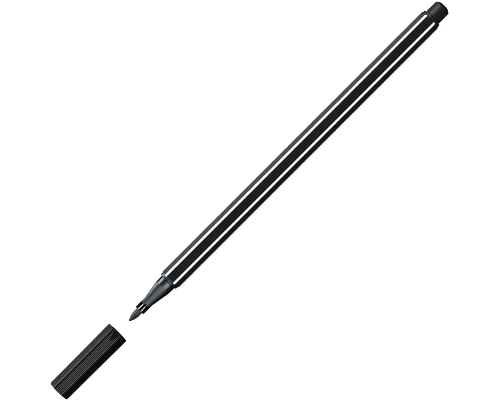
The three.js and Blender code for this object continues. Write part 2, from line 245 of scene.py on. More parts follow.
# Floor and backdrop, in metres, with their paper's grain in millimetres
FLOOR_HALF = 7.0
FLOOR_GLOW = 0.85
FLOOR_WHITE = 0.16
BACKDROP_RADIUS = 6.5
BACKDROP_HEIGHT = 5.0
BACKDROP_GLOW = 1.05
PAPER_GRAIN = 40
PAPER_SHADE = 0.02

# Cards on the floor that paint shade into the pen's gloss, and a little light where they glow, in metres,
# as name, from x, to x, from y, to y, glow
CARD_LIFT = 0.00005
SHADE_CARDS = (
    ("under", -0.3, 0.3, -0.0088, 0.0095, 0.002),
    ("beside_cap", -0.3, -0.064, -0.35, -0.0088, 0.03),
    ("beside_front", -0.064, -0.0404, -0.35, -0.0088, 0.02),
    ("beside_barrel", -0.0404, 0.0893, -0.35, -0.0088, 0.08),
    ("beside_plug", 0.0893, 0.3, -0.35, -0.0088, 0.03),
    ("behind_cap", -0.1, -0.064, 0.0095, 0.03, 0.55),
    ("behind_nib", -0.0612, -0.0530, 0.0095, 0.03, 0.01),
    ("behind_seat", -0.0465, -0.0404, 0.0095, 0.018, 0.01),
    ("behind_plug", 0.0895, 0.105, 0.0095, 0.02, 0.002),
)

# Lights, with lengths in metres. The gloss lights stand at one of three distances from the pen's axis.
WORLD_GLOW = 0.12
STRIP_TURN = 4
STRIP_LENGTH = 0.003
LIGHT_OVERHANG = 0.00015
GLOSS_SPREAD = math.radians(130)
NEAR_LIGHT = 0.006
MIDDLE_LIGHT = 0.0125
FAR_LIGHT = 0.025

# Where the gloss lights start and end, as x in metres in the model's frame
NIB_LIT = (-0.0608, -0.0562)
COLLAR_LIT = (-0.0553, -0.0533)
CONE_LIT = (-0.0526, -0.0446)
SEAT_LIT = (-0.0442, -0.0413)
FLANGE_LIT = (-0.0409, -0.0406)
PLUG_LIT = (0.0893, 0.0965)
CAP_LIT = (-0.099, -0.067)
BARREL_LIT = (-0.037, 0.087)


# Outlines

def mix(a, b, share):
    return a + (b - a) * share


def turned_point(along, across, angle):
    """A point given along and across a direction, as (y, z)."""
    y = along * math.cos(angle) - across * math.sin(angle)
    z = along * math.sin(angle) + across * math.cos(angle)
    return y, z


def arc(radius, from_angle, to_angle, steps):
    angles = [mix(from_angle, to_angle, i / steps) for i in range(steps + 1)]
    return [(radius * math.cos(angle), radius * math.sin(angle)) for angle in angles]


def softened(outline, edge, closed=True):
    """The outline with its corners rounded off by arcs that start no further than edge from them."""
    points = [Vector(point) for point in outline]
    rounded = []
    for i, corner in enumerate(points):
        is_end = not closed and i in (0, len(points) - 1)
        back = points[i - 1] - corner
        on = points[(i + 1) % len(points)] - corner
        if is_end or corner.y == 0 or (-back).angle(on) < math.radians(STRAIGHT_BELOW):
            rounded.append(corner)
            continue
        run = min(edge, back.length * EDGE_SHARE, on.length * EDGE_SHARE)
        start = corner + back.normalized() * run
        end = corner + on.normalized() * run
        for step in range(EDGE_STEPS + 1):
            share = step / EDGE_STEPS
            rounded.append(start.lerp(corner, share).lerp(corner.lerp(end, share), share))
    return [tuple(point) for point in rounded]


# Skins, from rings of points

def circle(at, radius, steps=TURN_STEPS):
    if radius < SAME_POINT:
        return [(at, 0, 0)]
    turns = [2 * math.pi * i / steps for i in range(steps)]
    return [(at, radius * math.cos(turn), radius * math.sin(turn)) for turn in turns]


def skin(rings):
    """A closed mesh over rings of points, from the last ring back to the first. A ring may be one point."""
    shape = bmesh.new()
    layers = [[shape.verts.new(point) for point in ring] for ring in rings]
    for near, far in zip(layers, layers[1:] + layers[:1]):
        count = max(len(near), len(far))
        for i in range(count if count > 1 else 0):
            j = (i + 1) % count
            around = [near[i % len(near)], near[j % len(near)], far[j % len(far)], far[i % len(far)]]
            shape.faces.new(dict.fromkeys(around))
    bmesh.ops.remove_doubles(shape, verts=shape.verts, dist=SAME_POINT)
    bmesh.ops.recalc_face_normals(shape, faces=shape.faces)
    mesh = bpy.data.meshes.new("skin")
    shape.to_mesh(mesh)
    shape.free()
    return mesh


def turned(outline, edge):
    """The skin of a closed outline of (place, radius) points turned round the pen's axis."""
    return skin([circle(at, radius) for at, radius in softened(outline, edge)])


def rod(radius, from_at, to_at, y, z):
    """A round rod along the pen, off the axis."""
    def ring(at, size):
        return [(at, y + dy, z + dz) for at, dy, dz in circle(at, size, VENT_STEPS)]
    return skin([[(from_at, y, z)], ring(from_at, radius), ring(to_at, radius), [(to_at, y, z)]])


def ring_of_rods(count, radius, ring_radius, from_at, to_at):
    angles = [math.pi / 2 + 2 * math.pi * i / count for i in range(count)]
    places = [turned_point(ring_radius, 0, angle) for angle in angles]
    return [rod(radius, from_at, to_at, y, z) for y, z in places]


def combined(mesh, tools, operation):
    """The mesh with each of the tools joined to it or cut from it."""
    base = bpy.data.objects.new("base", mesh)
    helpers = [bpy.data.objects.new("tool", tool) for tool in tools]
    for item in [base, *helpers]:
        bpy.context.scene.collection.objects.link(item)
    for helper in helpers:
        step = base.modifiers.new("step", "BOOLEAN")
        step.solver = "EXACT"
        step.operation = operation
        step.object = helper
    result = bpy.data.meshes.new_from_object(base.evaluated_get(bpy.context.evaluated_depsgraph_get()))
    for item in [base, *helpers]:
        bpy.data.objects.remove(item)
    return result


def finished(name, mesh, material, body, replaced, crease=CREASE):
    """Sets a mesh down in the model's frame as a piece that stands for CAD nodes and rides on a body."""
    mesh.transform(Matrix.Translation((TIP_X, 0, AXIS_Z)) @ Matrix.Scale(MM, 4))
    mesh.name = name
    mesh.shade_smooth()
    mesh.set_sharp_from_angle(angle=math.radians(crease))
    mesh.materials.clear()
    mesh.materials.append(material)
    piece = bpy.data.objects.new(name, mesh)
    bpy.context.scene.collection.objects.link(piece)
    even = piece.modifiers.new("even shading", "WEIGHTED_NORMAL")
    even.keep_sharp = True
    even.weight = EVEN_SHADING
    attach(piece, body)
    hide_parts(*replaced)
    return piece


# Materials. Their textures are measured in millimetres along, across and up the pen.

def add(tree, kind, inputs, **settings):
    """Adds a shader node, with its inputs linked or set."""
    node = tree.nodes.new(kind)
    for key, value in settings.items():
        setattr(node, key, value)
    for key, value in inputs.items():
        if isinstance(value, bpy.types.NodeSocket):
            tree.links.new(value, node.inputs[key])
        else:
            node.inputs[key].default_value = value
    return node


def grain(tree, along, across, detail=3, roughness=0.55):
    """Noise whose grains have this size in millimetres along and across the pen, from 0 to 1."""
    place = add(tree, "ShaderNodeTexCoord", {}).outputs["Object"]
    scale = (1 / (along * MM), 1 / (across * MM), 1 / (across * MM))
    scaled = add(tree, "ShaderNodeMapping", {"Vector": place, "Scale": scale}).outputs["Vector"]
    settings = {"Vector": scaled, "Scale": 1.0, "Detail": detail, "Roughness": roughness}
    return add(tree, "ShaderNodeTexNoise", settings).outputs["Fac"]


def ranged(tree, value, low, high, from_low=0.3, from_high=0.7):
    """Spreads a noise value over a range."""
    limits = {"Value": value, "From Min": from_low, "From Max": from_high, "To Min": low, "To Max": high}
    return add(tree, "ShaderNodeMapRange", limits).outputs["Result"]


def blended(tree, share, first, second):
    node = add(tree, "ShaderNodeMix", {"Factor": share}, data_type="RGBA")
    node.inputs["A"].default_value = (*first, 1)
    node.inputs["B"].default_value = (*second, 1)
    return node.outputs["Result"]


def bumped(tree, height, depth, under=None):
    """A bump of a depth in millimetres, on top of another bump if one is given."""
    inputs = {"Height": height, "Distance": depth * MM, "Strength": 1.0}
    if under is not None:
        inputs["Normal"] = under
    return add(tree, "ShaderNodeBump", inputs).outputs["Normal"]


def new_material(name):
    material = bpy.data.materials.new(name)
    material.use_nodes = True
    tree = material.node_tree
    return material, tree, tree.nodes["Principled BSDF"]


def plastic(name, dark, light, gloss, streak_length, streak_width, streak_depth, grain_size, grain_depth,
            specular=0.5, tint=(1, 1, 1)):
    """A plastic with fine streaks along the pen and a fine moulded or drawn grain."""
    material, tree, shader = new_material(name)
    streaks = grain(tree, streak_length, streak_width)
    cloud = grain(tree, *CLOUD_GRAIN, detail=2)
    specks = grain(tree, grain_size, grain_size, detail=2)
    tree.links.new(blended(tree, ranged(tree, cloud, 0, 1), dark, light), shader.inputs["Base Color"])
    tree.links.new(ranged(tree, streaks, *gloss), shader.inputs["Roughness"])
    relief = bumped(tree, streaks, streak_depth)
    relief = bumped(tree, specks, grain_depth, under=relief)
    tree.links.new(relief, shader.inputs["Normal"])
    shader.inputs["Specular IOR Level"].default_value = specular
    shader.inputs["Specular Tint"].default_value = (*tint, 1)
    return material


def fibre(name, dark, light, gloss, fibre_length, fibre_width, depth, specular):
    """Bonded fibres that run along the pen, dry and matt."""
    material, tree, shader = new_material(name)
    strands = grain(tree, fibre_length, fibre_width, detail=4, roughness=0.7)
    tufts = grain(tree, *TUFT_GRAIN, detail=3)
    tree.links.new(blended(tree, ranged(tree, strands, 0, 1), dark, light), shader.inputs["Base Color"])
    tree.links.new(ranged(tree, tufts, *gloss), shader.inputs["Roughness"])
    relief = bumped(tree, strands, depth)
    relief = bumped(tree, tufts, depth, under=relief)
    tree.links.new(relief, shader.inputs["Normal"])
    shader.inputs["Specular IOR Level"].default_value = specular
    return material


def film(name):
    """The thin clear sleeve round the reservoir."""
    material, tree, shader = new_material(name)
    wrinkles = grain(tree, *WRINKLE_GRAIN, detail=2)
    tint = blended(tree, ranged(tree, wrinkles, 0, 1), (0.55, 0.58, 0.6), (0.7, 0.72, 0.74))
    tree.links.new(tint, shader.inputs["Base Color"])
    tree.links.new(ranged(tree, wrinkles, 0.12, 0.25), shader.inputs["Roughness"])
    tree.links.new(bumped(tree, wrinkles, WRINKLE_DEPTH), shader.inputs["Normal"])
    shader.inputs["Transmission Weight"].default_value = FILM_CLEARNESS
    return material


barrel_black = plastic("barrel_black_drawn", (0.0025, 0.0026, 0.0028), (0.0045, 0.0047, 0.005), (0.3, 0.42),
                       streak_length=40, streak_width=0.16, streak_depth=0.004,
                       grain_size=0.12, grain_depth=0.0015)
stripe_white = plastic("stripe_white_drawn", (0.84, 0.84, 0.83), (0.9, 0.9, 0.89), (0.32, 0.45),
                       streak_length=40, streak_width=0.12, streak_depth=0.003,
                       grain_size=0.1, grain_depth=0.001)
holder_black = plastic("holder_black_polished", (0.0016, 0.0022, 0.003), (0.0026, 0.0034, 0.0046),
                       (0.12, 0.19), streak_length=6, streak_width=1.2, streak_depth=0.003,
                       grain_size=0.3, grain_depth=0.001, tint=(0.84, 0.92, 1))
# Painted shade: the faces between the collar's ribs get a darker black and no gloss, so they read as
# shaded.
recess_shade_black = plastic("recess_painted_shade", (0.0008, 0.0012, 0.0013), (0.0014, 0.002, 0.0022), (0.75, 0.9),
                       streak_length=2, streak_width=0.3, streak_depth=0.01,
                       grain_size=0.06, grain_depth=0.01, specular=0)
plug_black = plastic("plug_black_satin", (0.0045, 0.0045, 0.005), (0.007, 0.007, 0.0075), (0.32, 0.4),
                     streak_length=3, streak_width=0.5, streak_depth=0.003,
                     grain_size=0.08, grain_depth=0.002)
cap_black = plastic("cap_black_satin", (0.0016, 0.0016, 0.0018), (0.003, 0.003, 0.0034), (0.25, 0.34),
                    streak_length=5, streak_width=0.6, streak_depth=0.002,
                    grain_size=0.07, grain_depth=0.0012, specular=0.25)
seal_black = plastic("seal_black_soft", (0.006, 0.006, 0.0065), (0.009, 0.009, 0.0095), (0.45, 0.55),
                     streak_length=3, streak_width=0.5, streak_depth=0.003,
                     grain_size=0.08, grain_depth=0.002)
nib_fibre = fibre("nib_fibre_dry", (0.004, 0.004, 0.0042), (0.019, 0.019, 0.0195), (0.45, 0.6),
                  fibre_length=2.2, fibre_width=0.11, depth=0.016, specular=0.4)
reservoir_fibre = fibre("reservoir_fibre_inked", (0.006, 0.006, 0.008), (0.014, 0.014, 0.017), (0.7, 0.9),
                        fibre_length=8, fibre_width=0.12, depth=0.02, specular=0.3)
wrap_film = film("reservoir_film_clear")


# Barrel and its stripes

def corner_direction(corner):
    return corner * 2 * HALF_FACE


def stripe_root(gap):
    """The rounded root of a stripe, or of its groove, as (along, across) its corner's direction."""
    half_width = STRIPE_REACH * math.cos(HALF_FACE)
    centre = BARREL_CORNER_REACH - STRIPE_REACH * math.sin(HALF_FACE)
    depth = STRIPE_DEPTH - STRIPE_REACH * math.sin(HALF_FACE)
    turns = arc(1, -math.pi / 2, math.pi / 2, ROOT_STEPS)
    return [(centre - (depth - gap) * along, (half_width - gap) * across) for along, across in turns]


def barrel_outline():
    """The barrel's section with its six grooves, with points along its flats."""
    outline = []
    for corner in range(FACES):
        groove = [turned_point(*point, corner_direction(corner)) for point in stripe_root(0)]
        next_start = turned_point(*stripe_root(0)[0], corner_direction(corner + 1))
        start, end = Vector(groove[-1]), Vector(next_start)
        outward = (start + end).normalized()
        for i in range(1, FACE_STEPS):
            share = i / FACE_STEPS
            fall = FACE_CROWN * (1 - abs(2 * share - 1) ** FACE_CROWN_POWER)
            groove.append(tuple(start.lerp(end, share) + outward * fall))
        outline += groove
    return outline


def stripe_outline(corner):
    half_width = STRIPE_REACH * math.cos(HALF_FACE) - BOND_GAP
    side = BARREL_CORNER_REACH - half_width * math.tan(HALF_FACE)
    centre = (BARREL_FLATS / 2 - BARREL_CORNER_RADIUS) / math.cos(HALF_FACE)
    crown = [(centre + along, across)
             for along, across in arc(BARREL_CORNER_RADIUS, -HALF_FACE, HALF_FACE, CORNER_STEPS)]
    section = [(side, -half_width), *crown, (side, half_width), *reversed(stripe_root(BOND_GAP)[1:-1])]
    return [turned_point(*point, corner_direction(corner)) for point in section]


def lathe_reach(at):
    """How far out the barrel reaches at a place, because its ends are chamfered as on a lathe."""
    from_end = min(at - BARREL_AT, BARREL_END_AT - at)
    return mix(BARREL_END_RADIUS, BARREL_CORNER_REACH, min(1, from_end / BARREL_END_CHAMFER))


def trimmed_ring(outline, at):
    ring = []
    for y, z in outline:
        scale = min(1, lathe_reach(at) / math.hypot(y, z))
        ring.append((at, y * scale, z * scale))
    return ring


def barrel_places():
    steps = [BARREL_END_CHAMFER * i / CHAMFER_STEPS for i in range(CHAMFER_STEPS + 1)]
    return [BARREL_AT + step for step in steps] + [BARREL_END_AT - step for step in reversed(steps)]


def make_barrel():
    outline = barrel_outline()
    rings = [trimmed_ring(outline, at) for at in barrel_places()]

    def bore_ring(at, radius):
        scales = [radius / math.hypot(y, z) for y, z in outline]
        return [(at, y * scale, z * scale) for (y, z), scale in zip(outline, scales)]

    rings += [
        bore_ring(BARREL_END_AT, BARREL_BORE_RADIUS + BORE_LEAD),
        bore_ring(BARREL_END_AT - BORE_LEAD, BARREL_BORE_RADIUS),
        bore_ring(BARREL_AT + BORE_LEAD, BARREL_BORE_RADIUS),
        bore_ring(BARREL_AT, BARREL_BORE_RADIUS + BORE_LEAD),
    ]
    return finished("barrel_tube", skin(rings), barrel_black, "pen", ["barrel"])


def make_stripe(corner):
    outline = stripe_outline(corner)
    middle = turned_point(BARREL_CORNER_REACH - STRIPE_DEPTH / 2, 0, corner_direction(corner))
    rings = [trimmed_ring(outline, at) for at in barrel_places()]
    ends = [trimmed_ring([middle], at) for at in (BARREL_AT, BARREL_END_AT)]
    mesh = skin([ends[0], *rings, ends[1]])
    node = f"edge_stripe_{corner + 1}"
    return finished(node + "_strip", mesh, stripe_white, "pen", [node])


# Nib and the section that holds it

def make_nib():
    rings = [[(NIB_AT, 0, 0)]]
    for i in range(1, POINT_STEPS + 1):
        along = NIB_POINT_LENGTH * (i / POINT_STEPS) ** 2
        fullness = 1 - (1 - along / NIB_POINT_LENGTH) ** NIB_POINT_FLARE
        rings.append(circle(along, NIB_RADIUS * fullness ** NIB_POINT_FULLNESS))
    rings.append(circle(HOLDER_AT - NIB_RELIEF_STOP, NIB_RADIUS))
    exposed = []
    for ring in rings:
        exposed.append([])
        for at, y, z in ring:
            place = (at * NIB_STRANDS_ALONG, y * NIB_STRANDS_ACROSS, z * NIB_STRANDS_ACROSS)
            strand = noise.noise(Vector(place))
            scale = 1 + NIB_FIBRE_RELIEF * (strand - 1) / 2
            exposed[-1].append((at, y * scale, z * scale))
    rear = [
        circle(HOLDER_AT, NIB_RADIUS),
        circle(NIB_END_AT - NIB_REAR_CHAMFER, NIB_RADIUS),
        circle(NIB_END_AT, NIB_RADIUS - NIB_REAR_CHAMFER),
        [(NIB_END_AT, 0, 0)],
    ]
    mesh = skin(exposed + rear)
    return finished("nib_fibre_rod", mesh, nib_fibre, "pen", ["nib"], crease=FIBRE_CREASE)


def collar_section(inset):
    """The collar's ribbed section as (y, z) points, drawn in by an inset."""
    crest = NECK_RADIUS - inset
    root = COLLAR_ROOT_RADIUS - inset
    half = RIB_WIDTH / 2
    pitch = 2 * math.pi / COLLAR_RIBS
    half_root = math.asin((half + RIB_EDGE) / root)
    floor = arc(root, half_root, pitch - half_root, RIB_STEPS // 2)
    crown = []
    for i in range(RIB_STEPS + 1):
        share = mix(-1, 1, i / RIB_STEPS)
        crown.append((crest - RIB_CROWN * share * share, share * (half - RIB_BEVEL)))
    rib_and_gap = [(root + RIB_EDGE, -half), *crown, (root + RIB_EDGE, half), *floor]
    section = []
    for rib in range(COLLAR_RIBS):
        direction = math.pi / 2 + math.radians(RIB_TILT) + rib * pitch
        section += [turned_point(*point, direction) for point in rib_and_gap]
    return section


def in_recess(face):
    """Whether a face is on the floor or a flank between the collar's ribs, and not on a rib's crest. Such
    faces get painted shade.
    """
    outward = face.center.yz.normalized()
    is_low = face.center.yz.length < mix(COLLAR_ROOT_RADIUS, NECK_RADIUS, 0.5)
    return face.center.x < NECK_AT and (is_low or face.normal.yz.dot(outward) < RECESS_FACING)


def make_nib_holder():
    section = collar_section(0)

    def round_ring(at, radius):
        scales = [radius / math.hypot(y, z) for y, z in section]
        return [(at, y * scale, z * scale) for (y, z), scale in zip(section, scales)]

    def ribbed_ring(at, inset):
        return [(at, y, z) for y, z in collar_section(inset)]

    outline = [(NECK_AT, COLLAR_ROOT_RADIUS), (NECK_AT, NECK_RADIUS)]
    for i in range(CONE_STEPS + 1):
        share = i / CONE_STEPS
        swell = (SEAT_FRONT_RADIUS - NECK_RADIUS) * share ** CONE_HOLLOWNESS
        outline.append((CONE_AT + CONE_LENGTH * share, NECK_RADIUS + swell))
    outline += [
        (FLANGE_AT - RELIEF_WIDTH, SEAT_RADIUS),
        (FLANGE_AT - RELIEF_WIDTH / 2, SEAT_RADIUS - RELIEF_DEPTH),
        (FLANGE_AT, SEAT_RADIUS),
        (FLANGE_AT, FLANGE_RADIUS),
        (FLANGE_AT + FLANGE_LENGTH - CRISP_EDGE, FLANGE_RADIUS),
        (FLANGE_AT + FLANGE_LENGTH, FLANGE_RADIUS),
        (FLANGE_AT + FLANGE_LENGTH, SHANK_RADIUS),
        (SHANK_END_AT, SHANK_RADIUS),
        (SHANK_END_AT, SHANK_RADIUS - SHANK_WALL),
        (FLANGE_AT - SHANK_FLOOR, SHANK_RADIUS - SHANK_WALL),
        (FLANGE_AT - SHANK_FLOOR, NIB_BORE_RADIUS),
        (HOLDER_AT, NIB_BORE_RADIUS),
    ]
    turned_part = softened(outline, FLANGE_EDGE, closed=False)[1:-1]
    front = [
        ribbed_ring(HOLDER_AT, RIB_EDGE),
        ribbed_ring(HOLDER_AT + RIB_EDGE, 0),
        ribbed_ring(NECK_AT, 0),
    ]
    rings = [round_ring(HOLDER_AT, NIB_BORE_RADIUS), *front]
    rings += [round_ring(at, radius) for at, radius in turned_part]
    vents = ring_of_rods(NIB_VENTS, NIB_VENT_RADIUS, NIB_BORE_RADIUS, HOLDER_AT - THROUGH, FLANGE_AT)
    mesh = combined(skin(rings), vents, "DIFFERENCE")
    # The faces between the ribs take the second material, which paints them shaded.
    recessed = [in_recess(face) for face in mesh.polygons]
    piece = finished("nib_holder_moulding", mesh, holder_black, "pen", ["nib_holder"])
    mesh.materials.append(recess_shade_black)
    mesh.polygons.foreach_set("material_index", [int(inside) for inside in recessed])
    return piece


# Rear plug

def make_rear_plug():
    hollow = SHANK_RADIUS - PLUG_WALL
    mesh = turned([
        (PLUG_SHANK_AT, hollow),
        (PLUG_SHANK_AT, SHANK_RADIUS),
        (PLUG_FLANGE_AT, SHANK_RADIUS),
        (PLUG_FLANGE_AT, FLANGE_RADIUS),
        (PLUG_FLANGE_AT + CRISP_EDGE, FLANGE_RADIUS),
        (PLUG_HEAD_AT - CRISP_EDGE, FLANGE_RADIUS),
        (PLUG_HEAD_AT, FLANGE_RADIUS),
        (PLUG_HEAD_AT, SEAT_RADIUS),
        (PLUG_HEAD_AT + RELIEF_WIDTH / 2, SEAT_RADIUS - RELIEF_DEPTH),
        (PLUG_HEAD_AT + RELIEF_WIDTH, SEAT_RADIUS),
        (PLUG_END_AT - PLUG_END_CROWN - PLUG_END_CHAMFER, PLUG_HEAD_END_RADIUS),
        (PLUG_END_AT - PLUG_END_CROWN, PLUG_END_RADIUS),
        (PLUG_END_AT, PLUG_END_RADIUS - PLUG_END_CROWN),
        (PLUG_END_AT, GATE_RADIUS + GATE_DEPTH),
        (PLUG_END_AT - GATE_DEPTH, GATE_RADIUS),
        (PLUG_END_AT - GATE_DEPTH, 0),
        (PLUG_END_AT - PLUG_END_WALL, 0),
        (PLUG_END_AT - PLUG_END_WALL, hollow),
    ], FLANGE_EDGE)
    return finished("rear_plug_moulding", mesh, plug_black, "pen", ["rear_plug"])


# Cap and the seal inside it

def cap_half(at):
    return mix(CAP_END_FLATS, CAP_MOUTH_FLATS, (at - CAP_END_AT) / (CAP_MOUTH_AT - CAP_END_AT)) / 2


def crown_drop(y, z):
    """How far the cap's closed end stands back at a distance from the axis, because it is crowned."""
    return CAP_CROWN * (y * y + z * z) / (CAP_END_FLATS / 2) ** 2


def panel_points(half):
    """A sunk panel of fine reeds as (out, across) points."""
    floor = half - PANEL_DEPTH
    half_reeds = PANEL_RIBS * PANEL_RIB_PITCH / 2
    lip = half_reeds + PANEL_WALL_RUN
    left = [
        (half, -lip - PANEL_LIP),
        (half - PANEL_LIP_DROP, -lip),
        (floor, -half_reeds),
    ]
    right = [(out, -across) for out, across in reversed(left)]
    reeds = []
    steps = PANEL_RIBS * RIB_STEPS
    for i in range(1, steps):
        rise = abs(math.sin(math.pi * i / RIB_STEPS))
        reeds.append((floor + PANEL_RIB_HEIGHT * rise, -half_reeds + PANEL_RIB_PITCH * i / RIB_STEPS))
    return left + reeds + right


def plain_points(half):
    """A plain face as (out, across) points, close enough together for the round bore behind it."""
    reach = half * math.tan(HALF_FACE) - CAP_CORNER_RADIUS
    return [(half, reach * (2 * i / FACE_STEPS - 1)) for i in range(1, FACE_STEPS)]


def cap_section(half_flats, inset):
    """The cap's outline as (y, z) points, drawn in by an inset. Every other face has a panel."""
    half = half_flats - inset
    radius = CAP_CORNER_RADIUS - inset
    centre = (half - radius) / math.cos(HALF_FACE)
    section = []
    for corner in range(FACES):
        direction = corner_direction(corner)
        bend = arc(radius, -HALF_FACE, HALF_FACE, CORNER_STEPS)
        section += [turned_point(centre + along, across, direction) for along, across in bend]
        face = panel_points(half) if corner % 2 == 1 else plain_points(half)
        section += [turned_point(*point, direction + HALF_FACE) for point in face]
    return section


def make_cap_mark(panel):
    """A smooth arrowhead on a panel. Its base is at the mouth and it points to the closed end."""
    base_at = CAP_MOUTH_AT - MARK_INSET
    plan = [(base_at - MARK_LENGTH, 0), (base_at, -MARK_WIDTH / 2), (base_at, MARK_WIDTH / 2)]
    middle = base_at - MARK_LENGTH / 3
    direction = math.pi / 2 + panel * 4 * HALF_FACE

    def layer(shrink, drop):
        ring = []
        for at, across in plan:
            place = mix(middle, at, shrink)
            ring.append((place, *turned_point(cap_half(place) - drop, across * shrink, direction)))
        return ring

    def centre(drop):
        return [(middle, *turned_point(cap_half(middle) - drop, 0, direction))]

    def drawn_in(by):
        return 1 - 2 * by / MARK_WIDTH

    foot = PANEL_DEPTH * MARK_FOOT
    return skin([
        centre(foot),
        layer(1, foot),
        layer(drawn_in(MARK_SLOPE), MARK_DROP + MARK_EASE_DROP),
        layer(drawn_in(MARK_EASE), MARK_DROP),
        centre(MARK_DROP),
    ])


def cap_vents():
    from_at = CAP_END_AT - THROUGH
    to_at = CAP_END_AT + CAP_END_WALL + THROUGH
    return ring_of_rods(CAP_VENTS, CAP_VENT_RADIUS, SEAL_RADIUS + SEAL_LEDGE / 2, from_at, to_at)


def make_cap_shell():
    section = cap_section(cap_half(CAP_END_AT), CAP_EDGE_RADIUS)

    def mouth_ring(at, inset):
        return [(at, y, z) for y, z in cap_section(cap_half(at), inset)]

    def closed_end_ring(back, inset):
        ring = cap_section(cap_half(CAP_END_AT), inset)
        return [(CAP_END_AT + back + crown_drop(y, z), y, z) for y, z in ring]

    def round_ring(at, radius, crowned=False):
        scales = [radius / math.hypot(y, z) for y, z in section]
        at += crown_drop(radius, 0) if crowned else 0
        return [(at, y * scale, z * scale) for (y, z), scale in zip(section, scales)]

    rings = []
    for along, up in arc(1, math.pi / 2, 0, EDGE_STEPS):
        at = CAP_MOUTH_AT - CAP_MOUTH_EDGE_RADIUS * (1 - up)
        rings.append(mouth_ring(at, CAP_MOUTH_EDGE_RADIUS * (1 - along)))
    for along, up in arc(1, 0, math.pi / 2, EDGE_STEPS):
        rings.append(closed_end_ring(CAP_EDGE_RADIUS * (1 - up), CAP_EDGE_RADIUS * (1 - along)))
    ledge_at = CAP_END_AT + SEAL_DISC_THICKNESS
    floor_at = CAP_END_AT + CAP_END_WALL
    step_at = CAP_MOUTH_AT - CAP_MOUTH_BORE_DEPTH
    rings += [
        round_ring(CAP_END_AT, SEAL_DISC_RADIUS + PRESS_GAP, crowned=True),
        round_ring(ledge_at, SEAL_DISC_RADIUS + PRESS_GAP),
        round_ring(ledge_at, SEAL_RADIUS + PRESS_GAP),
        round_ring(floor_at, SEAL_RADIUS + PRESS_GAP),
        round_ring(floor_at, CAP_BORE_RADIUS),
        round_ring(step_at - CAP_LEAD_IN, CAP_BORE_RADIUS),
        round_ring(step_at, CAP_MOUTH_BORE_RADIUS),
        round_ring(CAP_MOUTH_AT - CAP_LEAD_IN, CAP_MOUTH_BORE_RADIUS),
        round_ring(CAP_MOUTH_AT, CAP_MOUTH_BORE_RADIUS + CAP_LEAD_IN),
    ]
    mesh = combined(skin(rings), [make_cap_mark(panel) for panel in range(FACES // 2)], "UNION")
    mesh = combined(mesh, cap_vents(), "DIFFERENCE")
    return finished("cap_moulding", mesh, cap_black, "cap", ["cap_shell"])


def make_cap_seal():
    bottom_at = CAP_END_AT + SEAL_DISC_THICKNESS - BUTT_GAP
    face = [SEAL_DISC_RADIUS * i / DISC_STEPS for i in range(DISC_STEPS + 1)]
    outline = [(CAP_END_AT + crown_drop(radius, 0), radius) for radius in face]
    outline += [
        (bottom_at, SEAL_DISC_RADIUS),
        (bottom_at, SEAL_RADIUS),
        (SEAL_MOUTH_AT, SEAL_RADIUS),
        (SEAL_MOUTH_AT, SEAL_BORE_RADIUS),
        (SEAL_MOUTH_AT - SEAL_BORE_RELIEF, SEAL_BORE_RADIUS - SEAL_BORE_RELIEF),
        (SEAL_MOUTH_AT - SEAL_BEAD_LENGTH, SEAL_BORE_RADIUS - SEAL_BORE_RELIEF),
        (SEAL_MOUTH_AT - SEAL_BEAD_LENGTH - SEAL_BORE_RELIEF, SEAL_BORE_RADIUS),
        (CAP_END_AT + CAP_END_WALL, SEAL_BORE_RADIUS),
        (CAP_END_AT + CAP_END_WALL, 0),
    ]
    mesh = combined(turned(outline, SEAL_BORE_RELIEF), cap_vents(), "DIFFERENCE")
    return finished("cap_seal_moulding", mesh, seal_black, "cap", ["cap_inner_seal"])


def dress(node, material):
    """Gives a CAD piece that stays in the scene its material."""
    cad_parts[node].data.materials.clear()
    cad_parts[node].data.materials.append(material)


make_barrel()
for stripe_corner in range(FACES):
    make_stripe(stripe_corner)
make_nib()
make_nib_holder()
make_rear_plug()
make_cap_shell()
make_cap_seal()
dress("reservoir_core", reservoir_fibre)
dress("reservoir_wrap", wrap_film)


# Stage: a pale floor, a backdrop for low views, dark cards that paint shade into the gloss, and the lights

def stage_object(name, mesh):
    item = bpy.data.objects.new(name, mesh)
    bpy.context.scene.collection.objects.link(item)
    return item


def seen_in_gloss_only(item):
    item.visible_camera = False
    item.visible_diffuse = False
    item.visible_transmission = False
    item.visible_shadow = False


def flat_mesh(name, corners):
    mesh = bpy.data.meshes.new(name)
    mesh.from_pydata(corners, [], [range(len(corners))])
    return mesh


def stage_material(name, glow, white):
    material = bpy.data.materials.new(name)
    material.use_nodes = True
    tree = material.node_tree
    tree.nodes.clear()
    paper = grain(tree, PAPER_GRAIN, PAPER_GRAIN)
    darker = (white * (1 - PAPER_SHADE),) * 3
    lighter = (white * (1 + PAPER_SHADE),) * 3
    shade = blended(tree, paper, darker, lighter)
    lit = add(tree, "ShaderNodeBsdfDiffuse", {"Color": shade})
    glowing = add(tree, "ShaderNodeEmission", {"Color": (1, 1, 1, 1), "Strength": glow})
    both = add(tree, "ShaderNodeAddShader", {})
    tree.links.new(lit.outputs[0], both.inputs[0])
    tree.links.new(glowing.outputs[0], both.inputs[1])
    add(tree, "ShaderNodeOutputMaterial", {"Surface": both.outputs[0]})
    return material


def make_floor():
    half = FLOOR_HALF
    floor = flat_mesh("floor", [(-half, -half, 0), (half, -half, 0), (half, half, 0), (-half, half, 0)])
    floor.materials.append(stage_material("floor_pale", FLOOR_GLOW, FLOOR_WHITE))
    stage_object("floor", floor)


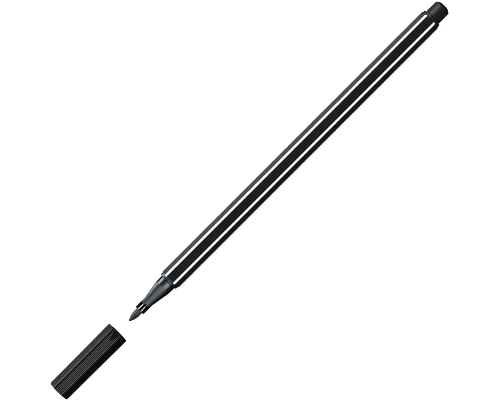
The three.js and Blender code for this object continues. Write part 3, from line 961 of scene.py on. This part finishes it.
def make_backdrop():
    rings = [circle(height, BACKDROP_RADIUS, BACKDROP_STEPS) for height in (0, BACKDROP_HEIGHT)]
    shape = bmesh.new()
    layers = [[shape.verts.new((y, z, height)) for height, y, z in ring] for ring in rings]
    for i in range(BACKDROP_STEPS):
        j = (i + 1) % BACKDROP_STEPS
        shape.faces.new([layers[0][i], layers[0][j], layers[1][j], layers[1][i]])
    mesh = bpy.data.meshes.new("backdrop")
    shape.to_mesh(mesh)
    shape.free()
    mesh.materials.append(stage_material("backdrop_pale", BACKDROP_GLOW, 0))
    backdrop = stage_object("backdrop", mesh)
    backdrop.visible_diffuse = False
    backdrop.visible_glossy = False
    backdrop.visible_transmission = False
    backdrop.visible_shadow = False


def make_shade_cards():
    """Dark cards under and beside the pen that only its gloss mirrors: painted shade in place of a shaded
    table's reflection, with a faint glow on some as painted reflection.
    """
    for name, from_x, to_x, from_y, to_y, glow in SHADE_CARDS:
        corners = [(from_x, from_y), (to_x, from_y), (to_x, to_y), (from_x, to_y)]
        mesh = flat_mesh("card_" + name, [(x, y, CARD_LIFT) for x, y in corners])
        mesh.materials.append(stage_material("card_" + name, glow, 0))
        seen_in_gloss_only(stage_object("card_" + name, mesh))


def area_light(name, centre, away, width, height, radiance):
    """A rectangular light, of a width along the pen, that faces against the direction away."""
    data = bpy.data.lights.new(name, "AREA")
    data.shape = "RECTANGLE"
    data.size = width
    data.size_y = height
    data.energy = radiance * math.pi * width * height
    light = bpy.data.objects.new(name, data)
    light.location = centre
    along = Vector((1, 0, 0))
    light.rotation_euler = Matrix((along, away.cross(along), away)).transposed().to_euler()
    light.visible_camera = False
    bpy.context.scene.collection.objects.link(light)
    return light


def soft_light(name, centre, target, width, height, radiance):
    """A large light that gloss doesn't mirror."""
    away = (Vector(centre) - Vector(target)).normalized()
    area_light(name, centre, away, width, height, radiance).visible_glossy = False


def bump_of(offset, half_width):
    """A smooth bump that is 1 in its middle and 0 beyond its half width."""
    if abs(offset) >= half_width:
        return 0
    return math.cos(math.pi / 2 * offset / half_width) ** 2


def mirrored_direction(tilt):
    """Where a surface at a seen tilt mirrors from, for the camera, as an angle from upright."""
    return 2 * math.radians(tilt) + math.radians(CAMERA_LEAN)


def mirrored_turn(tilt, piece_radius, light_radius):
    """Where round the pen's axis a light stands that a round piece mirrors to the camera at a seen tilt."""
    aside = math.asin(piece_radius * MM * math.sin(math.radians(tilt)) / light_radius)
    return mirrored_direction(tilt) - aside


def spread_gain(lean):
    """How much brighter a light narrowed to the gloss spread is at a lean from its axis than a full one."""
    half = GLOSS_SPREAD / 2
    return (math.tan(half) - math.tan(lean)) / (math.tan(half) - half)


def glow_at(tilt, share, lobes):
    """What the lobes add up to at a seen tilt, at a share of the way from their start to their end."""
    glow = 0
    for first, last in lobes:
        middle, half_width, radiance = (mix(a, b, share) for a, b in zip(first, last))
        glow += radiance * bump_of(tilt - middle, half_width)
    return glow


def gloss_strip(name, x, width, light_radius, piece_radius, tilts, glow):
    """A narrow light that faces the pen's axis. Tilts are the seen ones at its edge, middle and edge."""
    turns = [mirrored_turn(tilt, piece_radius, light_radius) for tilt in tilts]
    away = Vector((0, -math.sin(turns[1]), math.cos(turns[1])))
    centre = Vector((x, 0, AXIS_Z)) + away * light_radius
    strip = area_light(name, centre, away, width, (turns[2] - turns[0]) * light_radius, glow)
    strip.data.spread = GLOSS_SPREAD
    strip.data.energy /= spread_gain(abs(mirrored_direction(tilts[1]) - turns[1]))
    strip.visible_diffuse = False
    strip.visible_transmission = False


def gloss_light(name, light_radius, lit, piece_radii, lobes):
    """Rows of narrow lights about the pen's axis that only gloss mirrors, above pieces whose radius may
    change from start to end. A lobe is (middle, half width, radiance) at the start and again at the end.
    Its angles are the seen tilts of the surface that mirrors it, in degrees from upright towards -Y."""
    values = [value for lobe in lobes for value in lobe]
    lowest = min(middle - half_width for middle, half_width, _ in values)
    highest = max(middle + half_width for middle, half_width, _ in values)
    rows = math.ceil((highest - lowest) / STRIP_TURN)
    low, high = lit[0] - LIGHT_OVERHANG, lit[1] + LIGHT_OVERHANG
    lobes_change = any(first != last for first, last in lobes)
    columns = math.ceil((high - low) / STRIP_LENGTH) if lobes_change else 1
    for column in range(columns):
        share = (column + 0.5) / columns
        x = mix(low, high, share)
        piece_radius = mix(*piece_radii, share)
        for row in range(rows):
            tilts = [mix(lowest, highest, edge / rows) for edge in (row, row + 0.5, row + 1)]
            glow = glow_at(tilts[1], share, lobes)
            if glow > 0:
                gloss_strip(name, x, (high - low) / columns, light_radius, piece_radius, tilts, glow)


def steady(*lobe):
    """A lobe that is the same from its light's start to its end."""
    return lobe, lobe


def make_world():
    world = bpy.data.worlds.new("dim_room")
    world.use_nodes = True
    background = world.node_tree.nodes["Background"]
    background.inputs["Color"].default_value = (1, 1, 1, 1)
    background.inputs["Strength"].default_value = WORLD_GLOW
    bpy.context.scene.world = world


def make_soft_lights():
    soft_light("overhead", centre=(0, 0, 1.0), target=(0, 0, 0), width=1.6, height=1.6, radiance=2.6)
    soft_light("side_softbox", centre=(-0.12, 0.3, 0.055), target=(-0.12, 0, 0.055),
               width=0.36, height=0.11, radiance=9)


def make_gloss_lights():
    cap_radius = CAP_MOUTH_FLATS / 2
    barrel_radius = BARREL_FLATS / 2
    gloss_light("nib_light", MIDDLE_LIGHT, NIB_LIT, (NIB_RADIUS, NIB_RADIUS), [
        steady(-42, 19, 8),
    ])
    gloss_light("collar_light", NEAR_LIGHT, COLLAR_LIT, (NECK_RADIUS, NECK_RADIUS), [
        steady(-21.5, 11, 26),
        steady(15.3, 9, 21),
    ])
    gloss_light("cone_light", NEAR_LIGHT, CONE_LIT, (NECK_RADIUS, SEAT_FRONT_RADIUS), [
        ((3, 46, 3.5), (3, 39, 4.5)),
        ((-54, 28, 2.2), (-50, 27, 4.6)),
    ])
    gloss_light("seat_light", NEAR_LIGHT, SEAT_LIT, (SEAT_RADIUS, SEAT_RADIUS), [
        steady(12, 22.5, 7.2),
        steady(-9, 16, 0.8),
        steady(-43, 16, 11),
    ])
    gloss_light("flange_light", NEAR_LIGHT, FLANGE_LIT, (FLANGE_RADIUS, FLANGE_RADIUS), [
        steady(-45, 30, 5.5),
        steady(-3, 24, 2.2),
    ])
    gloss_light("plug_light", MIDDLE_LIGHT, PLUG_LIT, (SEAT_RADIUS, SEAT_RADIUS), [
        steady(-26, 21, 3.3),
    ])
    gloss_light("cap_light", FAR_LIGHT, CAP_LIT, (cap_radius, cap_radius), [
        steady(-39, 11, 25),
        steady(-22, 16, 1.7),
        steady(27, 17, 0.7),
    ])
    gloss_light("barrel_light", FAR_LIGHT, BARREL_LIT, (barrel_radius, barrel_radius), [
        steady(-18, 15, 0.4),
    ])


# Camera: the photograph looks down on the pen, which runs from the lower left to the upper right

def make_camera():
    data = bpy.data.cameras.new("camera")
    data.sensor_width = SENSOR_WIDTH
    data.lens = SENSOR_WIDTH * CAMERA_DISTANCE / (PHOTO_WIDTH_MM * MM)
    data.clip_end = CAMERA_RANGE
    camera = bpy.data.objects.new("camera", data)
    lean = Matrix.Rotation(math.radians(CAMERA_LEAN), 4, "X")
    turn = Matrix.Rotation(math.radians(VIEW_TURN), 4, "Z")
    at, y, z = VIEW_CENTRE
    target = Vector((TIP_X + at * MM, y * MM, AXIS_Z + z * MM))
    back = Matrix.Translation((0, 0, CAMERA_DISTANCE))
    camera.matrix_world = Matrix.Translation(target) @ lean @ turn @ back
    bpy.context.scene.collection.objects.link(camera)
    bpy.context.scene.camera = camera


make_floor()
make_backdrop()
make_shade_cards()
make_world()
make_soft_lights()
make_gloss_lights()
make_camera()
bpy.context.scene.view_settings.view_transform = "Standard"
bpy.context.scene.cycles.filter_width = PIXEL_FILTER
